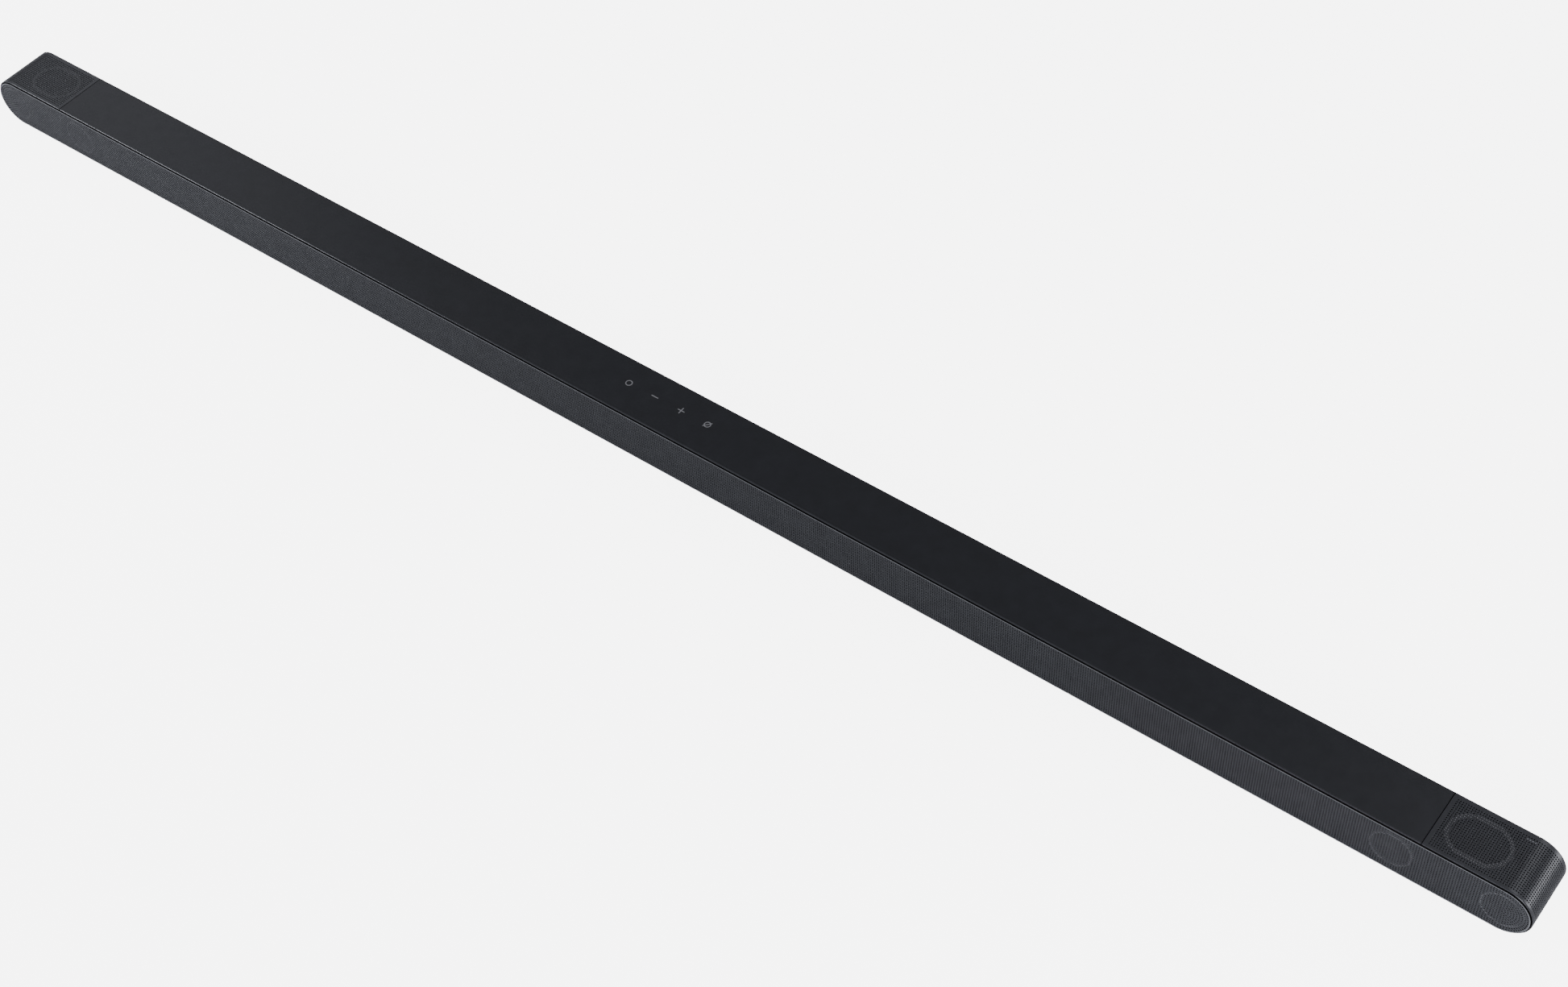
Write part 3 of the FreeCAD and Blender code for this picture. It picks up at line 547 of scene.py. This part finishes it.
def end_normals(mesh, split):
    """Smooth normals of the end's own curve on the outer and inner skin, flat ones in the holes."""
    co = np.zeros(len(mesh.vertices) * 3)
    mesh.vertices.foreach_get("co", co)
    co = co.reshape(-1, 3) / MM
    normals = np.zeros((len(mesh.loops), 3))
    for polygon in mesh.polygons[:split]:
        polygon.use_smooth = True
        sign = 1.0 if polygon.index < split // 2 else -1.0
        for loop in polygon.loop_indices:
            p = co[mesh.loops[loop].vertex_index]
            out = np.array([max(abs(p[0]) - END_X, 0.0) * np.sign(p[0]), 0.0, p[2] - MID_Z])
            normals[loop] = sign * out / np.linalg.norm(out)
    mesh.normals_split_custom_set(normals.tolist())


def hem(profile, us):
    """Solid strip with a closed (y, depth) profile, along the right end's outline at arc lengths us."""
    points = []
    for y, depth in profile:
        x, z = around_end(us, depth)
        points.extend(zip(x, np.full(len(us), y), z))
    along = len(us)
    faces = loft(len(profile), along, False)
    faces.append([k * along for k in range(len(profile))])
    faces.append([k * along + along - 1 for k in reversed(range(len(profile)))])
    return points, faces


def to_side(points, side):
    return [(x * side, y, z) for x, y, z in points]


def cover_edge(y, reach, depth):
    """Rounded outer edge that ends at y, from the outer face down; reach is negative at the back."""
    angles = np.radians([0, 15, 30, 42, 54, 64, 72, 79, 85, 90])
    return [(y + reach * (1 - math.sin(a)), depth * (1 - math.cos(a))) for a in angles]


def front_lip(name, us, side, slot, node):
    """Glossy rounded strip along the covers' front edge, lighter than the cover as a painted highlight."""
    front = COVER_LOW.y
    back = front + FRONT_EDGE[0]
    profile = [*cover_edge(front, *FRONT_EDGE), (front, LIP), (back, LIP)]
    points, faces = hem(profile, us)
    shaped(name, to_side(points, side), faces, "lip", slot, node)


def back_edge(y):
    return cover_edge(y, -BACK_EDGE[0], BACK_EDGE[1])


def top_cover():
    """Plain middle of the top, rebated at the front, with its glossy lip, whose lighter colour is a painted
    highlight.
    """
    front = COVER_LOW.y + FRONT_EDGE[0]
    back = COVER_HIGH.y
    us = np.array([COVER_LOW.x + SEAM_EXTRA, COVER_HIGH.x - SEAM_EXTRA]) - END_X
    profile = [(front, 0.0), (front, LIP), (REBATE_Y, LIP), (REBATE_Y, WALL), (back, WALL)]
    profile += reversed(back_edge(back))
    shaped("top_cover_skin", *hem(profile, us), "cover", "cover_plastic", "top_cover")
    front_lip("top_cover_lip", us, 1, "cover_plastic", "top_cover")


def end_grilles():
    """Perforated sheet round each end, with plain edges at the front and back and a plain part below."""
    top_start = SIDE_TOP_X - END_X
    bottom_end = math.pi * END_RADIUS + END_X - SIDE_BOTTOM_X
    columns = np.arange(top_start + END_FIRST_COLUMN, math.pi * END_RADIUS, END_COLUMN_PITCH)
    rows = END_ROW_PITCH * np.arange(-END_ROWS_EACH_WAY, END_ROWS_EACH_WAY + 1)
    edge = rows[-1] + END_ROW_PITCH / 2
    ends = (top_start + SEAM_EXTRA, columns[-1] + END_COLUMN_PITCH / 2)
    flat = grid_sheet(columns, rows, ends, (-edge, edge), END_HOLE[1])
    points, faces, split = thick_sheet(flat, on_end, END_SHEET, END_HOLE)
    us = np.array([*flat[0][: len(columns) + 1, 0], *np.linspace(columns[-1] + 1.5, bottom_end, 4)])
    front = SIDE_LOW.y + FRONT_EDGE[0]
    back = SIDE_HIGH.y
    strips = {
        "front_edge": ([(-edge, 0.0), (front, 0.0), (front, LIP), (-edge, LIP)], us),
        "back_edge": ([(edge, 0.0), *back_edge(back), (back, WALL), (edge, WALL)], us),
        "under": ([(-edge, 0.0), (edge, 0.0), (edge, END_SHEET), (-edge, END_SHEET)], us[len(columns):]),
    }
    for side, word in ((1, "right"), (-1, "left")):
        node = f"end_grille_{word}"
        mirrored = points.copy()
        mirrored[:, 0] *= side
        turned = faces if side > 0 else [f[::-1] for f in faces]
        sheet = piece(f"{node}_mesh", mirrored, turned, "side")
        end_normals(sheet.data, split)
        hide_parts(node)
        front_lip(f"{node}_lip", us, side, "grille_metal", node)
        for part, (profile, along) in strips.items():
            strip_points, strip_faces = hem(profile, along)
            shaped(f"{node}_{part}", to_side(strip_points, side), strip_faces, "side", "grille_metal", node)


def liners():
    """Black cloth behind the round ends, and a near-black strip that closes each seam from behind as painted
    shadow.
    """
    arc = np.linspace(0.6, math.pi * END_RADIUS + CLOTH_REACH, 40)
    seam = np.array([COVER_HIGH.x - SEAM_EXTRA, SIDE_TOP_X + SEAM_EXTRA]) - END_X
    strip_y = (SIDE_LOW.y + STRIP_INSET[0], SIDE_HIGH.y - STRIP_INSET[1])
    liner_kinds = {
        "cloth": (CLOTH_Y, CLOTH_DEPTH, arc, "cloth"),
        "seam_strip": (strip_y, (STRIP_DEPTH, WALL), seam, "void"),
    }
    for side, word in ((1, "right"), (-1, "left")):
        for name, ((front, back), (upper, lower), us, look) in liner_kinds.items():
            points, faces = hem([(front, upper), (back, upper), (back, lower), (front, lower)], us)
            shaped(f"{name}_{word}", to_side(points, side), faces, look, "inner_black")


# ---- drivers ----
def lathe(profile, stretch, steps=64):
    """Closed (radius, height) profile turned about the axis, as (u, v, w), and pulled apart along u."""
    angles = np.linspace(0, 2 * math.pi, steps, endpoint=False) + math.pi / steps
    shift = np.where(np.cos(angles) > 0, stretch / 2, -stretch / 2)
    points = []
    for radius, height in profile:
        points.extend(
            (radius * math.cos(a) + s, radius * math.sin(a), height) for a, s in zip(angles, shift)
        )
    return np.array(points), loft(len(profile), steps, True)


def driver_frame(name):
    """Centre, rim radius, stretch, height of its glued edge, and whether it faces up, from the CAD."""
    cone_low, cone_high = box_mm(f"cone_{name}")
    low, high = box_mm(f"surround_{name}")
    upward = name.startswith("up")
    across = (cone_high.y - cone_low.y) if upward else (cone_high.z - cone_low.z)
    centre = (cone_low + cone_high) / 2
    rim = across / 2
    stretch = cone_high.x - cone_low.x - across
    datum = low.z if upward else high.y
    return centre, rim, stretch, datum, upward


def set_in_row(points, seat):
    """Points of a driver's own (u, v, height), put where the driver is."""
    centre, _, _, datum, upward = seat
    u, v, height = points.T
    if upward:
        return np.column_stack([centre.x + u, centre.y + v, datum + height])
    return np.column_stack([centre.x + u, datum - height, centre.z + v])


def surround_roll(name, seat):
    """Half roll of rubber. Its outer edge sits on the basket and its inner edge at the cone's rim."""
    rim, stretch = seat[1:3]
    roll = [
        (rim + ROLL_WIDTH, 0.0), (rim + ROLL_WIDTH, 0.32), (rim + 3.0, 0.34), (rim + 2.8, 0.40),
        (rim + 2.5, 0.50), (rim + 2.1, 0.58), (rim + 1.6, 0.64), (rim + 1.0, 0.68), (rim + 0.5, ROLL_TOP),
        (rim + 0.02, 0.71), (rim + 0.02, 0.45), (rim + 1.0, 0.42), (rim + 2.1, 0.32), (rim + 2.7, 0.15),
        (rim + 3.0, 0.0),
    ]
    points, faces = lathe(roll, stretch)
    surround = shaped(
        f"surround_{name}_roll", set_in_row(points, seat), faces, "surround", "surround_rubber",
        f"surround_{name}", body=None,
    )
    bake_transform(surround)


def cone_skin(name, seat):
    """Cone with its rim, a groove, the dust dome and the voice coil's tube behind."""
    rim, stretch = seat[1:3]
    skin = [
        (rim, 0.72), (rim - 0.6, 0.70), (rim - 0.75, 0.55), (CONE_FOOT, 0.0), (7.4, 0.12), (7.1, 0.12),
        (6.95, -0.1), (5.5, -0.95), (5.1, -1.0), (DOME, -0.72), (3.6, -0.38), (2.4, -0.13), (1.2, -0.02),
        (PIN_HOLE, 0.0), (PIN_HOLE, -0.3), (DOME, -1.1), (COIL[0], -1.5), (COIL[0], COIL_END),
        (COIL[1], COIL_END), (COIL[1], -2.2), (rim, 0.3),
    ]
    points, faces = lathe(skin, stretch)
    shaped(
        f"cone_{name}_skin", set_in_row(points, seat), faces, "cone", "cone_membrane",
        f"cone_{name}", body=f"driver_{name}", degrees=50,
    )


def spacer_ring(name, seat):
    """Ring between the driver's flange and the grille, which shows through the holes."""
    _, rim, stretch, datum, upward = seat
    grille = SIDE_HIGH.z - END_SHEET if upward else GRILLE_LOW.y + SHEET_BACK + SHEET
    top = abs(grille - datum) - RING_GAP
    inner = rim + RING_FROM_RIM
    outer = inner + (UP_RING_WIDTH if upward else RING_WIDTH)
    profile = [(inner, ROLL_EDGE), (outer, ROLL_EDGE), (outer, top - RING_BEVEL), (outer - RING_BEVEL, top)]
    if upward:
        lip = inner - UP_RING_LIP
        profile += [(lip + RING_BEVEL, top), (lip, top - RING_BEVEL), (lip, top - 0.4), (inner, top - 0.4)]
    else:
        profile += [(inner + RING_BEVEL, top), (inner, top - RING_BEVEL)]
    look = "fibre" if upward else "dark_fibre"
    points, faces = lathe(profile, stretch)
    points = set_in_row(points, seat)
    shaped(f"spacer_ring_{name}", points, faces, look, "spacer_ring", "spacer_rings")


def drivers():
    for name in DRIVERS:
        seat = driver_frame(name)
        surround_roll(name, seat)
        cone_skin(name, seat)
        spacer_ring(name, seat)


# ---- small details on top ----
def flat_bar(x, y, length, degrees):
    c = math.cos(math.radians(degrees))
    s = math.sin(math.radians(degrees))
    a = length / 2
    b = ICON_STROKE / 2
    return [(x + u * c - v * s, y + u * s + v * c) for u, v in ((-a, -b), (a, -b), (a, b), (-a, b))]


def ring_bands(x, y, steps=48):
    """Ring of four-sided pieces."""
    angles = [2 * math.pi * i / steps for i in range(steps)]
    outer, inner = (
        [(x + r * math.cos(a), y + r * math.sin(a)) for a in angles]
        for r in (ICON_RADIUS + ICON_STROKE / 2, ICON_RADIUS - ICON_STROKE / 2)
    )
    return [[outer[i - 1], outer[i], inner[i], inner[i - 1]] for i in range(steps)]


def icons():
    """Ring, minus, plus and struck-through ring. Strokes that cross differ a little in height."""
    top = COVER_HIGH.z + ICON_RAISED
    marks = {
        "icon_source": [ring_bands(ICON_X[0], ICON_Y)],
        "icon_minus": [[flat_bar(ICON_X[1], ICON_Y, ICON_BAR, 0)]],
        "icon_plus": [[flat_bar(ICON_X[2], ICON_Y, ICON_BAR, turn)] for turn in (0, 90)],
        "icon_mute": [ring_bands(ICON_X[3], ICON_Y), [flat_bar(ICON_X[3], ICON_Y, MUTE_BAR, MUTE_DEGREES)]],
    }
    for name, layers in marks.items():
        points = []
        faces = []
        for level, layer in enumerate(layers):
            height = top + level * ICON_RAISED / 3
            for polygon in layer:
                base = len(points)
                points.extend((x, y, z) for z in (height, top - ICON_THICK) for x, y in polygon)
                faces.append([base, base + 1, base + 2, base + 3])
                faces.append([base + 7, base + 6, base + 5, base + 4])
                for i in range(4):
                    j = (i + 1) % 4
                    faces.append([base + i, base + 4 + i, base + 4 + j, base + j])
        piece(name, points, faces, "icon")


def light_tips():
    """Ends of the light guide, standing in four holes of the right end grille."""
    low, high = box_mm("light_guide")
    top = SIDE_HIGH.z - TIP_BELOW
    middle_y = (low.y + high.y) / 2
    xs = np.linspace(low.x + 0.8, high.x - 0.8, 4)
    profile = [(TIP_RADIUS, -2.0), (TIP_RADIUS, -0.1), (0.30, -0.02), (0.18, 0.0), (0.01, 0.0), (0.01, -2.0)]
    points, faces = lathe(profile, 0, 16)
    for number, x in enumerate(xs, 1):
        shaped(f"light_tip_{number}", points + np.array([x, middle_y, top]), faces, "light", "light_guide")


# ---- floor, light and camera ----
def seen_white(tree, base):
    """Strength that is WHITE to rays straight from the camera, and base to all others."""
    path = tree.nodes.new("ShaderNodeLightPath")
    strength = add_node(tree, "ShaderNodeMath", operation="MULTIPLY_ADD")
    strength.inputs[1].default_value = WHITE - base
    strength.inputs[2].default_value = base
    tree.links.new(path.outputs["Is Camera Ray"], strength.inputs[0])
    return strength.outputs[0]


def floor_material():
    made = finish("floor", (0.80, 0.80, 0.80), (0.84, 0.84, 0.84), (0.8, 0.9), 4.0, 0.02)
    tree = made.node_tree
    glow = tree.nodes.new("ShaderNodeEmission")
    both = tree.nodes.new("ShaderNodeAddShader")
    tree.links.new(seen_white(tree, 0.0), glow.inputs["Strength"])
    tree.links.new(tree.nodes["Principled BSDF"].outputs[0], both.inputs[0])
    tree.links.new(glow.outputs[0], both.inputs[1])
    tree.links.new(both.outputs[0], tree.nodes["Material Output"].inputs["Surface"])
    return made


def floor_and_world():
    mesh = bpy.data.meshes.new("floor")
    corners = [(x * FLOOR_HALF, y * FLOOR_HALF, 0) for x, y in ((-1, -1), (1, -1), (1, 1), (-1, 1))]
    mesh.from_pydata(corners, [], [[0, 1, 2, 3]])
    floor = bpy.data.objects.new("floor", mesh)
    bpy.context.scene.collection.objects.link(floor)
    mesh.materials.append(floor_material())
    world = bpy.data.worlds.new("studio")
    bpy.context.scene.world = world
    world.use_nodes = True
    back = world.node_tree.nodes["Background"]
    back.inputs["Color"].default_value = (*LIGHT_COLOR, 1.0)
    world.node_tree.links.new(seen_white(world.node_tree, WORLD_LIGHT), back.inputs["Strength"])


def soft_light(name, place, target, size, power):
    data = bpy.data.lights.new(name, "AREA")
    data.shape = "RECTANGLE"
    data.size, data.size_y = size
    data.energy = power
    data.color = LIGHT_COLOR
    obj = bpy.data.objects.new(name, data)
    bpy.context.scene.collection.objects.link(obj)
    obj.location = place
    obj.rotation_euler = (Vector(target) - Vector(place)).to_track_quat("-Z", "Y").to_euler()
    obj.visible_camera = False


def lights():
    for name, (place, target, size, power) in SOFTBOXES.items():
        soft_light(name, place, target, size, power)


def camera():
    data = bpy.data.cameras.new("camera")
    data.sensor_width = 36.0
    data.sensor_fit = "HORIZONTAL"
    data.lens = LENS
    data.clip_start = 0.01
    data.clip_end = 100.0
    obj = bpy.data.objects.new("camera", data)
    bpy.context.scene.collection.objects.link(obj)
    rotation = Matrix((CAMERA_ACROSS, CAMERA_UP, CAMERA_BACK)).transposed()
    obj.matrix_world = Matrix.Translation(CAMERA_PLACE) @ rotation.to_4x4()
    bpy.context.scene.camera = obj


dress_cad_nodes()
front_grille()
top_cover()
end_grilles()
liners()
drivers()
icons()
light_tips()
floor_and_world()
lights()
camera()
